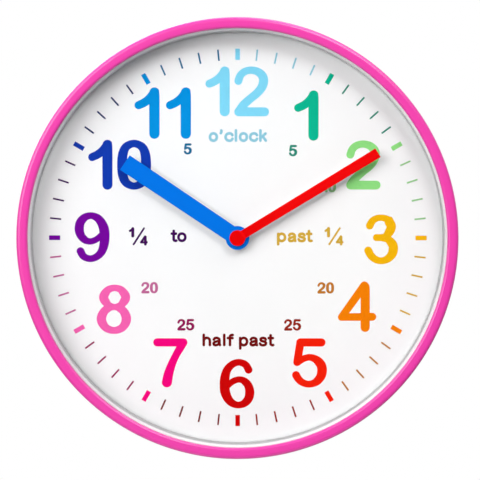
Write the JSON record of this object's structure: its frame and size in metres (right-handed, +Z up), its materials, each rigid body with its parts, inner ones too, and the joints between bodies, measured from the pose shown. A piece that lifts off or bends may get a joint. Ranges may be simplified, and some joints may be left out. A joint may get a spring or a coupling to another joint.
{
  "type": "teaching wall clock",
  "caption": "Round wall clock for learning to tell the time, with a coloured rim, a plain lens, two hands and a battery movement that hangs on a nail.",
  "frame": {"origin": "centre of the nail in the top of the hanging slot, in the plane of the wall", "axes": "+Z up, +Y into the wall, +X to the right as the dial is seen from the front; the dial faces -Y and the hands turn about a line along Y, 70 mm below the origin"},
  "size_m": [0.2, 0.0349, 0.2],
  "materials": {
    "pink_plastic": "satin moulded plastic",
    "white_plastic": "fine matt moulded plastic",
    "clear_plastic": "clear polished",
    "dial_card": "printed matt card",
    "blue_plastic": "satin moulded plastic",
    "red_plastic": "satin moulded plastic",
    "black_plastic": "fine spark-eroded moulded plastic",
    "gear_plastic": "natural acetal",
    "brass": "rolled",
    "steel": "rolled sheet",
    "copper_wire": "enamelled copper wire",
    "laminate": "green printed laminate",
    "battery_sleeve": "plain printed sleeve"
  },
  "bodies": {
    "case": {"case_ring": "pink_plastic", "lens": "clear_plastic", "spacer_ring": "white_plastic", "dial": "dial_card", "back_plate": "white_plastic", "hanging_box": "white_plastic", "movement_plate": "black_plastic", "movement_cover": "black_plastic", "train_bridge": "black_plastic", "stator": "steel", "coil_core": "steel", "coil_bobbin": "white_plastic", "coil_winding": "copper_wire", "circuit_board": "laminate", "quartz_crystal": "steel", "contact_positive": "steel", "contact_negative": "steel"},
    "minute_hand": {"minute_hand": "red_plastic", "minute_arbor": "gear_plastic"},
    "hour_hand": {"hour_hand": "blue_plastic", "hour_wheel": "gear_plastic"},
    "motion_wheel": {"motion_wheel": "gear_plastic"},
    "setting_knob": {"setting_knob": "gear_plastic"},
    "centre_wheel": {"centre_wheel": "gear_plastic", "clutch_spring": "brass"},
    "third_wheel": {"third_wheel": "gear_plastic"},
    "second_wheel": {"second_wheel": "gear_plastic"},
    "intermediate_wheel": {"intermediate_wheel": "gear_plastic"},
    "rotor": {"rotor": "gear_plastic", "rotor_magnet": "steel"},
    "battery": {"battery": "battery_sleeve"}
  },
  "joints": [
    {"name": "minute_hand_turn", "type": "hinge", "parent": "case", "child": "minute_hand", "pos_m": [0, -0.026, -0.07], "axis": [0, 1, 0], "continuous": true},
    {"name": "hour_hand_turn", "type": "hinge", "parent": "case", "child": "hour_hand", "pos_m": [0, -0.0247, -0.07], "axis": [0, 1, 0], "continuous": true},
    {"name": "motion_wheel_turn", "type": "hinge", "parent": "case", "child": "motion_wheel", "pos_m": [-0.00658, -0.015, -0.07239], "axis": [0, 1, 0], "continuous": true},
    {"name": "setting_knob_turn", "type": "hinge", "parent": "case", "child": "setting_knob", "pos_m": [-0.01347, -0.002, -0.07361], "axis": [0, 1, 0], "continuous": true},
    {"name": "rotor_turn", "type": "hinge", "parent": "case", "child": "rotor", "pos_m": [0.01031, -0.011, -0.06075], "axis": [0, 1, 0], "continuous": true},
    {"name": "intermediate_wheel_turn", "type": "hinge", "parent": "case", "child": "intermediate_wheel", "pos_m": [0.00868, -0.006, -0.06684], "axis": [0, 1, 0], "continuous": true},
    {"name": "second_wheel_turn", "type": "hinge", "parent": "case", "child": "second_wheel", "pos_m": [0, -0.008, -0.07], "axis": [0, 1, 0], "continuous": true},
    {"name": "third_wheel_turn", "type": "hinge", "parent": "case", "child": "third_wheel", "pos_m": [-0.00528, -0.01, -0.06246], "axis": [0, 1, 0], "continuous": true},
    {"name": "centre_wheel_turn", "type": "hinge", "parent": "case", "child": "centre_wheel", "pos_m": [0, -0.0125, -0.07], "axis": [0, 1, 0], "continuous": true},
    {"name": "battery_slide", "type": "slide", "parent": "case", "child": "battery", "axis": [0, 1, 0], "range_m": [0, 0.03]}
  ],
  "couplings": [
    {"joint": "hour_hand_turn", "follows": "minute_hand_turn", "ratio": 0.083333},
    {"joint": "motion_wheel_turn", "follows": "minute_hand_turn", "ratio": -0.33333},
    {"joint": "setting_knob_turn", "follows": "minute_hand_turn", "ratio": 1},
    {"joint": "intermediate_wheel_turn", "follows": "rotor_turn", "ratio": -0.2},
    {"joint": "second_wheel_turn", "follows": "rotor_turn", "ratio": 0.033333},
    {"joint": "third_wheel_turn", "follows": "rotor_turn", "ratio": -0.0044444},
    {"joint": "centre_wheel_turn", "follows": "rotor_turn", "ratio": 0.00055556}
  ]
}
